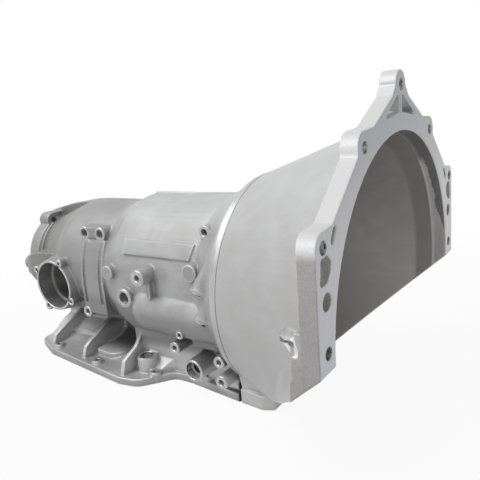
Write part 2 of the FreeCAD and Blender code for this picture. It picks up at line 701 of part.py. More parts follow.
def near_side_features():
    solids = []
    cutters = []
    grooves = []
    inner = []

    def add(result):
        solids.extend(result[0])
        cutters.extend(result[1])

    for name, (back, *rest) in PORTS.items():
        add(port(name, f"-{back}", *rest))
    # Upright band with two grooves, below the bar of the twin ports
    solids.append(prism("band", [
        ("-60", "52"),
        ("-83", "52"),
        ("-88.5", "40"),
        ("-93.5", "24"),
        ("-97", "6"),
        ("-98", "-8"),
        ("-98", "-52"),
        ("-60", "-66"),
    ], "46", FORWARD, "-261"))
    for index, start in enumerate(("-256.5", "-225"), start=1):
        grooves.append(prism(f"groove_{index}", [
            ("-78", "48"),
            ("-84", "48"),
            ("-90", "28"),
            ("-93.5", "6"),
            ("-94.5", "-8"),
            ("-94.5", "-38"),
            ("-110", "-38"),
            ("-110", "48"),
        ], "5.5", FORWARD, start))
    solids.append(box("twin_bar", "32", "26", "15", "-258", "-82", "55"))
    inner.append(cylinder("twin_arch", "8.5", "12", "-242", "-92", "47", FAR))
    # Long raised plate high on the side
    plate = sector("side_plate_full", "front_barrel_radius + 3", "121", "-165", 23.5, 11.0)
    slant = prism("side_plate_slant", [
        ("-55", "30"),
        ("-44", "80"),
        ("-20", "80"),
        ("-20", "30"),
    ], "100", NEAR, "-40")
    solids.append(cut("side_plate", plate, slant))
    # Half round bulge along the lower side, with a round nose
    solids.append(cylinder(
        "bulge", "bulge_radius", "bulge_length - bulge_radius - face_land",
        "-bulge_length + bulge_radius", "-bulge_offset", "bulge_level", FORWARD))
    nose = doc.addObject("Part::Sphere", "bulge_nose")
    bind(nose, Radius="bulge_radius")
    place(nose, "-bulge_length + bulge_radius", "-bulge_offset", "bulge_level")
    solids.append(nose)
    solids.append(box("port_rib", "6", "24", "26", "-115", "-115", "-8"))
    # Two tilted bosses behind the ring, each with a taper down to the barrel
    for index, (x, y, z, radius, run, length) in enumerate((
        ("-26", "-120", "10.5", "11.8", (0.3, 0.2, 0.93), "40"),
        ("-25.5", "-117.5", "-26", "11.2", (0.2, 0.08, 0.97), "34")), start=2):
        solids.append(cylinder(f"ring_boss_{index}", radius, "40", x, y, z, (0.1, 0.8, 0.6)))
        solids.append(cone(
            f"ring_boss_taper_{index}", f"{radius} + 0.1", "3", length,
            x, f"{y} + 3.4", f"{z} + 2.6", run))
        cutters.append(cylinder(
            f"ring_hole_lower_{index}", "4", "13", f"{x} - 0.1", f"{y} - 0.8", f"{z} - 0.6",
            (0.1, 0.8, 0.6)))
    # Modulator and filler above the pan rail
    add(port(
        "modulator", "-modulator_back", "modulator_face", "modulator_level", "modulator_radius", "60",
        "modulator_bore_radius", "12"))
    inner.append(cylinder(
        "modulator_inner", "modulator_inner_radius", "48", "-modulator_back",
        "-modulator_face - 1", "modulator_level", FAR))
    solids.append(cylinder(
        "filler", "filler_radius", "filler_height", "-filler_back", "-filler_offset",
        "-pan_drop + rail_thickness - 1", UP))
    cutters.append(cylinder(
        "filler_bore", "filler_bore_radius", "filler_height + rail_thickness + 4", "-filler_back",
        "-filler_offset", "-pan_drop - 1", UP))
    solids.append(box("port_ledge", "45", "30", "8", "-64", "-97", "-70"))
    solids.append(cylinder("corner_lug", "7", "34", "-34", "-84", "-114", FORWARD))
    # Selector shaft and wiring connector on the far side
    add(port(
        "selector", "-selector_back", "selector_face", "selector_level", "selector_radius", "34",
        "selector_bore_radius", "28", FAR))
    add(port(
        "connector", "-connector_back", "connector_face", "connector_level", "connector_radius", "30",
        "connector_bore_radius", "14", FAR))
    # Governor housing
    add(port(
        "governor", "-governor_back", "governor_face", "governor_level", "governor_radius", "75",
        "governor_bore_radius", "governor_bore_depth"))
    inner.append(cylinder(
        "governor_inner", "governor_inner_radius", "60", "-governor_back",
        "-governor_face - 1", "governor_level", FAR))
    solids.append(cone(
        "governor_root", "governor_radius - 0.2", "governor_root_radius", "40", "-governor_back",
        "-governor_face + 1", "governor_level", FAR))
    solids.append(prism("governor_shelf", [
        ("-case_length + 12", "governor_level + 6"),
        ("-case_length + 16", "governor_level + 30"),
        ("-case_length + 28", "governor_level + 36"),
        ("-case_length + 43", "governor_level + 40"),
        ("-case_length + 80", "governor_level + 42"),
        ("-case_length + 95", "governor_level + 38"),
        ("-case_length + 95", "governor_level"),
        ("-case_length + 34", "governor_level - 10"),
    ], "30", NEAR, "-54"))
    for index in range(4):
        angle = math.radians(59.5 + 90 * index)
        x = f"-governor_back + governor_bolt_circle * {math.cos(angle):.6f}"
        z = f"governor_level + governor_bolt_circle * {math.sin(angle):.6f}"
        add(port(
            f"governor_ear_{index + 1}", x, "governor_face", z,
            "governor_ear_radius", "26", "governor_bolt_radius", "18"))
    return solids, {"holes": cutters, "grooves": grooves, "inner_bores": inner}


def rear_flange():
    """Six ears round the rear flange, each with a bolt hole right through."""
    solids = []
    cutters = []
    depth = "rear_flange_thickness"
    for index, angle in enumerate(REAR_BOLT_ANGLES, start=1):
        across, level = around("rear_bolt_circle", angle)
        solids.append(cylinder(
            f"rear_ear_{index}", "rear_ear_radius", depth, "-case_length", across, level, FORWARD))
        cutters.append(cylinder(
            f"rear_hole_{index}", "rear_bolt_radius", f"{depth} + 4", "-case_length - 1",
            across, level, FORWARD))
    for label, angle in (("top", 24), ("bottom", 156)):
        across, level = around("rear_bolt_circle", angle)
        low = f"({level}) + 12" if label == "top" else f"({level}) - 12"
        solids.append(prism(f"rear_bridge_{label}", [
            (across, level),
            (across, low),
            (f"-({across})", low),
            (f"-({across})", level),
        ], depth, FORWARD, "-case_length"))
    return solids, cutters


def case_bores():
    """The stepped bore for the pump, the clutches and the gear sets."""
    return turned("case_bores", [
        ("1", "0"),
        ("1", "pump_bore_radius"),
        ("-pump_bore_depth", "pump_bore_radius"),
        ("-pump_bore_depth", "clutch_bore_radius"),
        ("-clutch_bore_end", "clutch_bore_radius"),
        ("-clutch_bore_end", "gear_bore_radius"),
        ("-gear_bore_end", "gear_bore_radius"),
        ("-gear_bore_end", "gear_bore_radius - 10"),
        ("-case_length + rear_wall", "rear_bore_radius"),
        ("-case_length + rear_wall", "output_bore_radius"),
        ("-case_length - 1", "output_bore_radius"),
        ("-case_length - 1", "0"),
    ])


def pan_openings():
    """The room for the valve body, a shallow recess round it, and the oil window in its roof."""
    rear = -value("case_length") + 42
    near = value("room_half_width")
    plan = rounded_face([(rear, -near, 10), (-26, -near, 10), (-26, near, 10), (rear, near, 10)])
    room = feature("pan_room", plan.extrude(Vector(0, 0, value("room_depth"))))
    place(room, "0", "0", "-pan_drop")
    plan = rounded_face([(-172, -near + 4, 8), (-30, -near + 4, 8), (-30, near - 4, 8), (-172, near - 4, 8)])
    deep_room = feature("deep_room", plan.extrude(Vector(0, 0, value("roof_gap"))))
    place(deep_room, "0", "0", "-pan_drop")
    rim = rounded_face(rail_corners()).makeOffset2D(-value("rail_width"))
    ledge = feature("recess_full", rim.extrude(Vector(0, 0, value("recess_depth"))))
    place(ledge, "0", "0", "-pan_drop")
    pads = [cylinder(
        "filler_pad", "filler_radius + 3", "rail_thickness", "-filler_back", "-filler_offset",
        "-pan_drop - 1", UP)]
    for index, (x, y) in enumerate(PAN_BOLTS, start=1):
        pads.append(cylinder(
            f"inner_pad_{index}", "pan_pad_radius", "rail_thickness", x, y, "-pan_drop - 1", UP))
    recess = cut("pan_recess", ledge, fuse("recess_pads", pads))
    window = prism("pump_oil_window", [
        ("-45", "-pan_drop + 10"),
        ("45", "-pan_drop + 10"),
        ("45", "-60"),
        ("-45", "-60"),
    ], "60", FORWARD, "-96")
    return {"pan_room": [room], "deep_room": [deep_room], "pan_recess": [recess], "oil_window": [window]}


def main_case():
    near_solids, near_groups = near_side_features()
    flange_solids, flange_holes = rear_flange()
    solids = main_case_outer() + webs() + near_solids + flange_solids
    solids.append(box(
        "top_seam", "neck_front - step_start", "3", "2", "-neck_front", "-1.5", "barrel_radius - 1"))
    solids.append(box(
        "top_seam_front", "step_end - flare_start - 4", "3", "2",
        "-step_end + 2", "-1.5", "front_barrel_radius - 0.8"))
    pan_holes = []
    for index, (x, y) in enumerate(PAN_BOLTS, start=1):
        solids.append(cylinder(
            f"pan_pad_{index}", "pan_pad_radius", "rail_thickness + pan_pad_height",
            x, y, "-pan_drop", UP))
        pan_holes.append(cylinder(
            f"pan_hole_{index}", "pan_bolt_radius", "rail_thickness + pan_pad_height + 2",
            x, y, "-pan_drop - 1", UP))
    joint_holes = []
    for index in range(JOINT_BOLTS):
        across, level = around("joint_circle", 360.0 * index / JOINT_BOLTS)
        joint_holes.append(cylinder(
            f"joint_thread_{index + 1}", "joint_bolt_radius", "joint_engagement + 2",
            "-joint_engagement", across, level, FORWARD))
    for index, angle in enumerate(JOINT_DOWEL_ANGLES, start=1):
        across, level = around("joint_circle", angle)
        joint_holes.append(cylinder(
            f"case_dowel_{index}", "joint_dowel_radius", "joint_dowel_length / 2 + 1",
            "-joint_dowel_length / 2", across, level, FORWARD))
    groups = {
        "bores": [case_bores()],
        **{f"bore_{tool.Name}": [tool] for tool in near_groups["inner_bores"]},
        **pan_openings(),
        "joint_holes": joint_holes,
        "pan_holes": pan_holes,
        "flange_holes": flange_holes,
        "near_holes": near_groups["holes"],
        "grooves": near_groups["grooves"],
    }
    return cut_in_turn("main_case", fuse("case_solids", solids), groups)


# Hardware

def joint_bolt(index):
    """A hexagon head bolt that clamps the bell's rear ring to the case from inside the bell."""
    across, level = around("joint_circle", 360.0 * index / JOINT_BOLTS)
    number = f"{index + 1:02d}"
    shank = cylinder(
        f"shank_{number}", "joint_bolt_radius", "joint_engagement - 1 + ring_thickness",
        "-joint_engagement + 1", across, level, FORWARD)
    head = doc.addObject("Part::Prism", f"head_{number}")
    head.Polygon = 6
    bind(head, Circumradius="joint_head_radius", Height="joint_head_height")
    place(head, "ring_thickness", across, level, FORWARD)
    return fuse(f"joint_bolt_{number}", [shank, head])


def joint_dowel(number, angle):
    across, level = around("joint_circle", angle)
    return cylinder(
        f"joint_dowel_{number}", "joint_dowel_radius", "joint_dowel_length - 1",
        "-joint_dowel_length / 2 + 0.5", across, level, FORWARD)


def rear_bushing():
    outer = cylinder(
        "bushing_outer", "output_bore_radius", "bushing_length", "-case_length + 4", "0", "0", FORWARD)
    inner = cylinder(
        "bushing_bore", "output_bore_radius - bushing_wall", "bushing_length + 2",
        "-case_length + 3", "0", "0", FORWARD)
    return cut("rear_bushing", outer, inner)


def check_and_write(nodes):
    """Stops on any failed object or bad solid, and only then writes the node files."""
    doc.recompute()
    for item in doc.Objects:
        for word in ("Invalid", "Error"):
            if word in item.State:
                raise RuntimeError(f"{item.Name} is {item.State}")
    for name, item in nodes.items():
        if item.Shape.isNull() or not item.Shape.isValid() or not item.Shape.Solids:
            raise RuntimeError(f"{name} has no valid solid")
    os.makedirs("parts", exist_ok=True)
    for name, item in nodes.items():
        item.Label = name
        item.Shape.exportStep(f"parts/{name}.step")
        print(name, len(item.Shape.Solids), "solid,", round(item.Shape.Volume / 1000, 1), "cm3")


nodes = {"main_case": main_case(), "bell_housing": bell_housing()}
for index in range(JOINT_BOLTS):
    nodes[f"joint_bolt_{index + 1:02d}"] = joint_bolt(index)
for number, angle in enumerate(JOINT_DOWEL_ANGLES, start=1):
    nodes[f"joint_dowel_{number}"] = joint_dowel(number, angle)
nodes["rear_bushing"] = rear_bushing()
check_and_write(nodes)
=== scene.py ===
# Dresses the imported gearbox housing: soft cast edges on the two castings, and the machined
# faces, bores and threads that the plain solids don't show. The shaft axis is x, the joint
# between the castings is at x = 0, the engine is at +x, and z points up. Lengths are in
# metres, unless a name or a comment says mm.

import json
import math

import bmesh
import bpy
import numpy as np
from mathutils import Matrix, Vector

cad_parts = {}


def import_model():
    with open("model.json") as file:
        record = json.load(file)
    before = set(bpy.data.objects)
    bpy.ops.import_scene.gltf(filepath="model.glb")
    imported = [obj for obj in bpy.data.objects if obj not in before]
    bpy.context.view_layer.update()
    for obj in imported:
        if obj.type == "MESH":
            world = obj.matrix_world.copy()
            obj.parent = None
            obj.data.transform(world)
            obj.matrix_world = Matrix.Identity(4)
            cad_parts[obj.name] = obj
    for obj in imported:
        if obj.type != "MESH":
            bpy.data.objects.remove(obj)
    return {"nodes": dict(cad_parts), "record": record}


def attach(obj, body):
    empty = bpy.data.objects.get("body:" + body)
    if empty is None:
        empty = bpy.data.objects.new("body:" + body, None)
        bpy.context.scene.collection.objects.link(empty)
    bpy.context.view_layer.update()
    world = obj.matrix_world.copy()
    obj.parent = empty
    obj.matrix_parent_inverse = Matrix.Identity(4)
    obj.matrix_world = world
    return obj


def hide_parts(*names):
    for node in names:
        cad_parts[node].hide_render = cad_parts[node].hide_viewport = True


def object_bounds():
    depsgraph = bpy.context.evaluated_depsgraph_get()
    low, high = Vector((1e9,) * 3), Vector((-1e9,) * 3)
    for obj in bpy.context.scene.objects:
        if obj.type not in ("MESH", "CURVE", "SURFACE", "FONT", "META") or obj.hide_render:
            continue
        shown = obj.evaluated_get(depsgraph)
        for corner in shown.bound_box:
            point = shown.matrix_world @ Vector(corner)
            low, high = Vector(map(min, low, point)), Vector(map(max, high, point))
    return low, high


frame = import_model()
cad_low, cad_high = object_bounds()
scene = bpy.context.scene
nodes = frame["nodes"]

FORWARD = (1, 0, 0)
NEAR = (0, -1, 0)
UP = (0, 0, 1)

# Levels along x, and then along z
ENGINE_FACE = 0.173
LIP_BACK = 0.154
SHOULDER_END = 0.1535
CLUTCH_BORE_END = -0.185
REAR_FACE = -0.42
RING_CUT = -0.112
PAN_FACE = -0.1345
PAD_TOP = PAN_FACE + 0.0155

# Radii of the widest bore, and of the next one behind it, with room for the softened walls
WIDE_BORE = 0.1052
GEAR_BORE = 0.0855

# The inside of the bell's cone: its radius and place at the ring, and how far it opens
CONE_ROOT = 0.127
CONE_START = 0.0105
CONE_OPENING = 0.0515
CONE_LENGTH = 0.147

# How finely the castings are meshed, and the most triangles that they keep
FINE_VOXEL = 0.00115
SMOOTHING_ROUNDS = 3
SHELL_TRIANGLES = 195000
BORE_TRIANGLES = 90000

# Depth in mm at which a hole's turned mouth ends and its plain wall begins
MOUTH_DEPTH = 0.6

# Boss radius in mm of each tapped port on the near side
BOSSES = {
    "twin_port_1": 10.0, "twin_port_2": 10.0, "band_port": 8.5, "pressure_port": 10.6,
    "vent_port": 13.0, "ring_port": 8.5, "small_port": 5.5, "cooler_port_1": 8.0,
    "cooler_port_2": 8.0, "cooler_port_3": 8.8,
}

# Lead-in in mm of the ports that are opened wider than the others
WIDE_LEADS = {"vent_port": 2.4, "twin_port_1": 1.2, "twin_port_2": 1.2}

# Turned profiles, as (radius, height out of the mouth) corners in mm
RING_BAND = [(132.6, 0.15), (133.65, 0.7), (133.65, 9.8), (133.3, 10.3)]
CONE_EDGE = [(133.5, 10.45), (136.2, 10.45), (136.8, 11.0)]
GOVERNOR_RIM = [
    (38.5, -1.2), (38.3, -0.4), (37.8, 0.12), (35.6, 0.12), (34.95, -0.5), (34.95, -24.9),
]
FILLER_RIM = [
    (13.4, -1.3), (13.2, -0.5), (12.6, 0.12), (10.2, 0.12), (9.55, -0.6), (9.55, -31.8),
]
MODULATOR_RIM = [
    (14.4, -1.3), (14.2, -0.5), (13.6, 0.12), (11.6, 0.12), (10.95, -0.6), (10.95, -11.9),
    (7.45, -11.9), (7.45, -47),
]

# Sizes of the broken edges on the steel and bronze pieces
BOLT_EDGE = 0.0006
FINE_EDGE = 0.0004

MILLED_ROUGHNESS = 0.3
SAWN_ROUGHNESS = 0.75
WHITE = (1.0, 1.0, 1.0, 1.0)

# Stretch of the turning marks in bores that lie across the shaft
CROSSWISE = (0.03, 1.0, 0.03)


def grey(level, warm=0.0):
    return (level * (1 + warm), level, level * (1 - warm), 1.0)


# Camera

def photo_camera():
    """The camera at the photograph's place and angle. Its angles are in radians."""
    place = Vector((0.362, -0.5695, 0.218))
    yaw = 0.6213
    pitch = 0.242
    roll = 0.0875
    focal_pixels = 542.75
    picture_pixels = 480
    sensor_mm = 36
    ahead = Vector((
        -math.sin(yaw) * math.cos(pitch),
        math.cos(yaw) * math.cos(pitch),
        -math.sin(pitch),
    ))
    level = Vector((math.cos(yaw), math.sin(yaw), 0))
    below = ahead.cross(level)
    right = math.cos(roll) * level + math.sin(roll) * below
    down = math.cos(roll) * below - math.sin(roll) * level
    data = bpy.data.cameras.new("camera")
    data.sensor_width = sensor_mm
    data.lens = focal_pixels * sensor_mm / picture_pixels
    data.clip_start = 0.01
    data.clip_end = 100
    camera = bpy.data.objects.new("camera", data)
    scene.collection.objects.link(camera)
    columns = (right, -down, -ahead, place)
    rows = [[column[row] for column in columns] for row in range(3)]
    camera.matrix_world = Matrix(rows + [[0, 0, 0, 1]])
    scene.camera = camera


# Shader helpers

class Shader:
    """The node tree of a material or world, with short calls for the nodes used often."""

    def __init__(self, owner):
        owner.use_nodes = True
        self.owner = owner
        self.tree = owner.node_tree
        self.surface = self.tree.nodes.get("Principled BSDF")

    def node(self, kind, **settings):
        made = self.tree.nodes.new(kind)
        for key, setting in settings.items():
            setattr(made, key, setting)
        return made

    def join(self, source, target):
        """Links an output to an input, or writes a number or colour on it."""
        if hasattr(source, "links"):
            self.tree.links.new(source, target)
        elif hasattr(target.default_value, "__len__") and not hasattr(source, "__len__"):
            target.default_value = [source] * len(target.default_value)
        else:
            target.default_value = source

    def math(self, operation, first, second=0.0):
        made = self.node("ShaderNodeMath", operation=operation)
        self.join(first, made.inputs[0])
        self.join(second, made.inputs[1])
        return made.outputs[0]

    def both(self, *masks):
        """1 only where every mask is 1."""
        result = masks[0]
        for mask in masks[1:]:
            result = self.math("MULTIPLY", result, mask)
        return result

    def either(self, *masks):
        """1 where any of the masks is 1."""
        result = masks[0]
        for mask in masks[1:]:
            result = self.math("MAXIMUM", result, mask)
        return result

    def ramp(self, source, low, high, start=0.0, end=1.0):
        """start at low, end at high, and smooth between them. low may be the larger one."""
        made = self.node("ShaderNodeMapRange", interpolation_type="SMOOTHSTEP")
        self.join(source, made.inputs["Value"])
        made.inputs["From Min"].default_value = low
        made.inputs["From Max"].default_value = high
        made.inputs["To Min"].default_value = start
        made.inputs["To Max"].default_value = end
        return made.outputs["Result"]

    def band(self, source, rise, fall):
        """1 between two levels: it rises over the first pair and falls over the second."""
        return self.both(self.ramp(source, *rise), self.ramp(source, *fall))

    def facing(self, component, sign=1):
        """1 where the surface faces along an axis. The component is nx, ny or nz."""
        return self.ramp(component, sign * 0.9, sign * 0.96)

    def mix(self, factor, first, second, kind="RGBA"):
        made = self.node("ShaderNodeMix", data_type=kind)
        index = {"FLOAT": 2, "RGBA": 6}[kind]
        self.join(factor, made.inputs[0])
        self.join(first, made.inputs[index])
        self.join(second, made.inputs[index + 1])
        return made.outputs[{"FLOAT": 0, "RGBA": 2}[kind]]

    def paint(self, tone, mask, amount, colour):
        """The tone with some of a colour over it where the mask is 1."""
        return self.mix(self.math("MULTIPLY", mask, amount), tone, colour)

    def noise(self, scale, detail=3.0, roughness=0.55, stretch=None):
        made = self.node("ShaderNodeTexNoise")
        made.inputs["Scale"].default_value = scale
        made.inputs["Detail"].default_value = detail
        made.inputs["Roughness"].default_value = roughness
        place = self.place
        if stretch:
            mapping = self.node("ShaderNodeMapping")
            mapping.inputs["Scale"].default_value = stretch
            self.join(self.place, mapping.inputs["Vector"])
            place = mapping.outputs[0]
        self.join(place, made.inputs["Vector"])
        return made.outputs["Fac"]

    def coordinates(self):
        """Position, radius about the shaft axis, and normal, in the frame's own axes."""
        self.place = self.node("ShaderNodeTexCoord").outputs["Object"]
        parts = self.node("ShaderNodeSeparateXYZ")
        self.join(self.place, parts.inputs[0])
        self.x, self.y, self.z = parts.outputs
        flat = self.node("ShaderNodeCombineXYZ")
        self.join(self.y, flat.inputs[1])
        self.join(self.z, flat.inputs[2])
        length = self.node("ShaderNodeVectorMath", operation="LENGTH")
        self.join(flat.outputs[0], length.inputs[0])
        self.radius = length.outputs["Value"]
        geometry = self.node("ShaderNodeNewGeometry")
        facing = self.node("ShaderNodeSeparateXYZ")
        self.join(geometry.outputs["True Normal"], facing.inputs[0])
        self.nx, self.ny, self.nz = facing.outputs
        self.pointiness = geometry.outputs["Pointiness"]

    def bump(self, height, distance, strength=1.0, under=None):
        made = self.node("ShaderNodeBump")
        made.inputs["Distance"].default_value = distance
        made.inputs["Strength"].default_value = strength
        self.join(height, made.inputs["Height"])
        if under is not None:
            self.join(under, made.inputs["Normal"])
        return made.outputs[0]


def background_rays(shader):
    """1 for the rays that show the background: camera, glossy and transmission rays."""
    path = shader.node("ShaderNodeLightPath").outputs
    return shader.either(
        path["Is Camera Ray"], path["Is Glossy Ray"], path["Is Transmission Ray"])


# Cast metal

def cast_surface(shader, low, high):
    """Sand cast aluminium: soft mottling, fine grain, painted shade in the hollows and corners, and
    painted highlights on the edges.

    low and high are the greys of the mottling. Pointiness is 0.5 on flat metal, more on an
    edge and less in a corner.
    """
    mottle = shader.noise(30, 4, 0.6)
    grain = shader.noise(420, 2, 0.7)
    tone = shader.mix(shader.ramp(mottle, 0.35, 0.68), grey(low, 0.004), grey(high, -0.004))
    tone = shader.mix(shader.ramp(grain, 0.3, 0.75, 0.0, 0.14), tone, grey(low * 0.72))
    # Painted shade: darker where nearby metal shelters the surface
    shelter = shader.node("ShaderNodeAmbientOcclusion", samples=8)
    shelter.inputs["Distance"].default_value = 0.011
    hollow_shade = shader.ramp(shelter.outputs["AO"], 0.85, 0.25, 0.0, 0.85)
    tone = shader.mix(hollow_shade, tone, grey(low * 0.25, 0.03))
    # Painted shade in the inner corners
    corners = shader.ramp(shader.pointiness, 0.493, 0.45, 0.0, 0.6)
    tone = shader.mix(corners, tone, grey(low * 0.45, 0.02))
    # Painted highlight: the edges are paler
    edge_highlight = shader.ramp(shader.pointiness, 0.508, 0.545, 0.0, 0.65)
    tone = shader.mix(edge_highlight, tone, grey(0.8))
    rough = shader.ramp(shader.noise(60, 3), 0.3, 0.7, 0.44, 0.56)
    lumps = shader.bump(shader.noise(95, 3), 0.0006, 0.35)
    normal = shader.bump(grain, 0.00022, 0.5, lumps)
    return tone, rough, normal


def joint_seam(shader, tone):
    """The dark line between the two castings where the rail meets the foot."""
    beside = shader.ramp(shader.math("ABSOLUTE", shader.x), 0.003, 0.0016)
    low_down = shader.ramp(shader.z, -0.1, -0.106)
    return shader.paint(tone, shader.both(beside, low_down), 0.95, grey(0.02))


def case_material():
    shader = Shader(bpy.data.materials.new("cast_case_metal"))
    shader.coordinates()
    tone, rough, normal = cast_surface(shader, 0.39, 0.48)
    # The rear is darker, and the crown of the wide front is paler: painted light on its top
    tone = shader.mix(shader.ramp(shader.x, -0.17, -0.24, 0.0, 0.5), tone, grey(0.27))
    crown_light = shader.both(
        shader.ramp(shader.z, 0.07, 0.1, 0.0, 0.45), shader.ramp(shader.x, -0.24, -0.2))
    tone = shader.mix(crown_light, tone, grey(0.66, -0.01))
    # Painted light: the deck and its webs are paler, from the rail up to the deck's soft upper edge
    deck_low, deck_high = (-0.098, -0.083)
    deck_light = shader.band(shader.z, (-0.125, -0.118), (deck_high, deck_low))
    tone = shader.paint(tone, deck_light, 0.55, grey(0.8))
    # Painted shade in the deep pocket below the barrel, between the second and third web
    pocket_shade = shader.both(
        shader.band(shader.x, (-0.264, -0.258), (-0.168, -0.178)),
        shader.ramp(shader.y, -0.088, -0.05),
        shader.ramp(shader.z, -0.075, -0.09))
    tone = shader.paint(tone, pocket_shade, 0.8, grey(0.08, 0.02))
    # Painted shade: the flank above the deck is darker
    flank_shade = shader.band(shader.z, (deck_low, deck_high), (-0.015, -0.035))
    tone = shader.paint(tone, flank_shade, 0.65, grey(0.22))
    # The faces that are cut flat: the joint, the rear flange and the underside of the rail
    front = shader.both(shader.facing(shader.nx), shader.ramp(shader.x, -0.003, -0.0015))
    rear = shader.both(
        shader.facing(shader.nx, -1),
        shader.ramp(shader.x, REAR_FACE + 0.0025, REAR_FACE + 0.001))
    under = shader.both(
        shader.facing(shader.nz, -1),
        shader.ramp(shader.z, PAN_FACE + 0.002, PAN_FACE + 0.0008))
    cut = shader.either(front, rear, under)
    lines = shader.noise(500, 2, 0.5, (0.02, 1.0, 1.0))
    milled = shader.mix(shader.ramp(lines, 0.3, 0.7), grey(0.56, -0.01), grey(0.70, -0.01))
    tone = shader.mix(cut, tone, milled)
    # The bored front is clean, and what lies deeper within is darker: painted shade
    bored = shader.both(
        shader.ramp(shader.radius, WIDE_BORE, WIDE_BORE - 0.0006),
        shader.ramp(shader.x, CLUTCH_BORE_END - 0.005, CLUTCH_BORE_END))
    tone = shader.paint(tone, bored, 0.8, grey(0.5))
    deep_shade = shader.both(
        shader.ramp(shader.radius, 0.0905, 0.0885), shader.ramp(shader.x, -0.4, -0.395))
    tone = shader.paint(tone, deep_shade, 0.55, grey(0.2, 0.02))
    rough = shader.mix(cut, rough, MILLED_ROUGHNESS, "FLOAT")
    shader.join(joint_seam(shader, tone), shader.surface.inputs["Base Color"])
    shader.join(rough, shader.surface.inputs["Roughness"])
    shader.join(normal, shader.surface.inputs["Normal"])
    shader.surface.inputs["Metallic"].default_value = 0.35
    return shader.owner


def heel_recess(shader, tone):
    """The recess in front of the near heel: grainy painted shade, a painted highlight on one facet,
    and painted light on the flat beside it.
    """
    near = shader.ramp(shader.y, -0.167, -0.17)
    # Painted shade in the recess, grainy
    recess_shade = shader.both(
        shader.band(shader.x, (0.113, 0.1145), (0.1345, 0.132)),
        shader.band(shader.z, (0.0025, 0.0035), (0.0125, 0.0105)),
        shader.ramp(shader.noise(500, 2), 0.35, 0.6, 0.3, 0.9),
        near)
    tone = shader.mix(recess_shade, tone, grey(0.06, 0.03))
    # A painted highlight on one facet, whose lower edge slants down towards the engine
    lean = shader.math("MULTIPLY", shader.math("SUBTRACT", shader.x, 0.1185), 0.7)
    facet_highlight = shader.both(
        shader.ramp(shader.math("ADD", shader.z, lean), 0.0014, 0.0022),
        shader.ramp(shader.z, 0.0034, 0.0026),
        shader.ramp(shader.x, 0.1275, 0.1265),
        near)
    tone = shader.mix(facet_highlight, tone, grey(0.95))
    # The flat between the recess and the sawn heel, pale with painted light, and the ledge above it
    flat = shader.both(
        shader.band(shader.x, (0.131, 0.133), (SHOULDER_END, SHOULDER_END - 0.0007)),
        shader.band(shader.z, (-0.0035, -0.002), (0.0165, 0.0155)),
        near)
    tone = shader.mix(flat, tone, grey(0.85))
    ledge = shader.both(
        shader.ramp(shader.nz, 0.25, 0.45),
        shader.band(shader.z, (0.0135, 0.0155), (0.024, 0.021)),
        near)
    return shader.mix(ledge, tone, grey(0.41))


def sawn_sides(shader):
    """1 on the engine flange's outer sides, where the surface faces away from the shaft."""
    across = shader.math("MULTIPLY", shader.y, shader.ny)
    upward = shader.math("MULTIPLY", shader.z, shader.nz)
    outward = shader.math("DIVIDE", shader.math("ADD", across, upward), shader.radius)
    sides = shader.both(
        shader.ramp(shader.x, SHOULDER_END - 0.0007, SHOULDER_END),
        shader.ramp(shader.nx, 0.95, 0.8),
        shader.ramp(outward, 0.15, 0.45),
        shader.ramp(shader.radius, 0.1865, 0.1885))
    heels = shader.ramp(shader.math("ABSOLUTE", shader.y), 0.2076, 0.2083)
    return shader.either(sides, heels)


def sawn_metal(shader):
    """Speckled grey low down, with painted light that makes it a little paler higher up and pale
    round the upper ears, palest where they face up.
    """
    speckle = shader.noise(650, 3, 0.8)
    sawn = shader.mix(shader.ramp(shader.z, 0.03, 0.09), grey(0.45, 0.02), grey(0.49, 0.02))
    sawn = shader.mix(shader.ramp(speckle, 0.42, 0.7, 0.0, 0.35), sawn, grey(0.2, 0.02))
    # Painted light on the upper ears, brightest on the faces that look up
    ear_light = shader.mix(shader.ramp(shader.nz, 0.3, 0.8), grey(0.92), grey(0.68))
    ear_light = shader.mix(shader.ramp(speckle, 0.42, 0.7, 0.0, 0.2), ear_light, grey(0.45))
    return shader.mix(shader.ramp(shader.z, 0.092, 0.104), sawn, ear_light)


def bell_within(shader, tone):
    """Painted shade inside the cone, slightly brown, lighter low down with painted bounce light,
    darker in a band towards the flange, and with painted light on the far lip.
    """
    slope = shader.math("ADD", shader.math("MULTIPLY", shader.x, 0.356), 0.1250)
    depth = shader.math("SUBTRACT", shader.radius, slope)
    cone = shader.both(
        shader.ramp(depth, 0.004, 0.001), shader.ramp(shader.x, LIP_BACK + 0.0025, LIP_BACK))
    lip = shader.both(
        shader.ramp(shader.radius, 0.1795, 0.1788),
        shader.band(
            shader.x, (LIP_BACK, LIP_BACK + 0.0015), (ENGINE_FACE - 0.0005, ENGINE_FACE - 0.0015)))
    # Painted shade inside the cone: lighter low down, and darker in a band towards the flange
    cone_shade = shader.mix(shader.ramp(shader.z, 0.12, -0.05), grey(0.21, 0.03), grey(0.4, 0.03))
    cone_shade = shader.mix(shader.ramp(shader.x, 0.131, 0.138, 0.0, 0.65), cone_shade, grey(0.1, 0.03))
    # Painted light on the far lip, behind a ragged line which slants more on its lower part
    steep = shader.math("SUBTRACT", 0.181, shader.math("MULTIPLY", shader.z, 0.285))
    gentle = shader.math("SUBTRACT", 0.165, shader.math("MULTIPLY", shader.z, 0.03))
    ragged = shader.math("MULTIPLY", shader.noise(90, 3), 0.006)
    line = shader.math("ADD", shader.either(steep, gentle), ragged)
    behind = shader.math("SUBTRACT", line, shader.math("ADD", shader.x, 0.003))
    lip_light = shader.both(
        shader.ramp(behind, -0.0006, 0.0006), shader.ramp(shader.z, 0.14, 0.125), lip)
    cone_shade = shader.mix(lip_light, cone_shade, grey(0.5, 0.02))
    return shader.paint(tone, shader.either(cone, lip), 0.9, cone_shade)


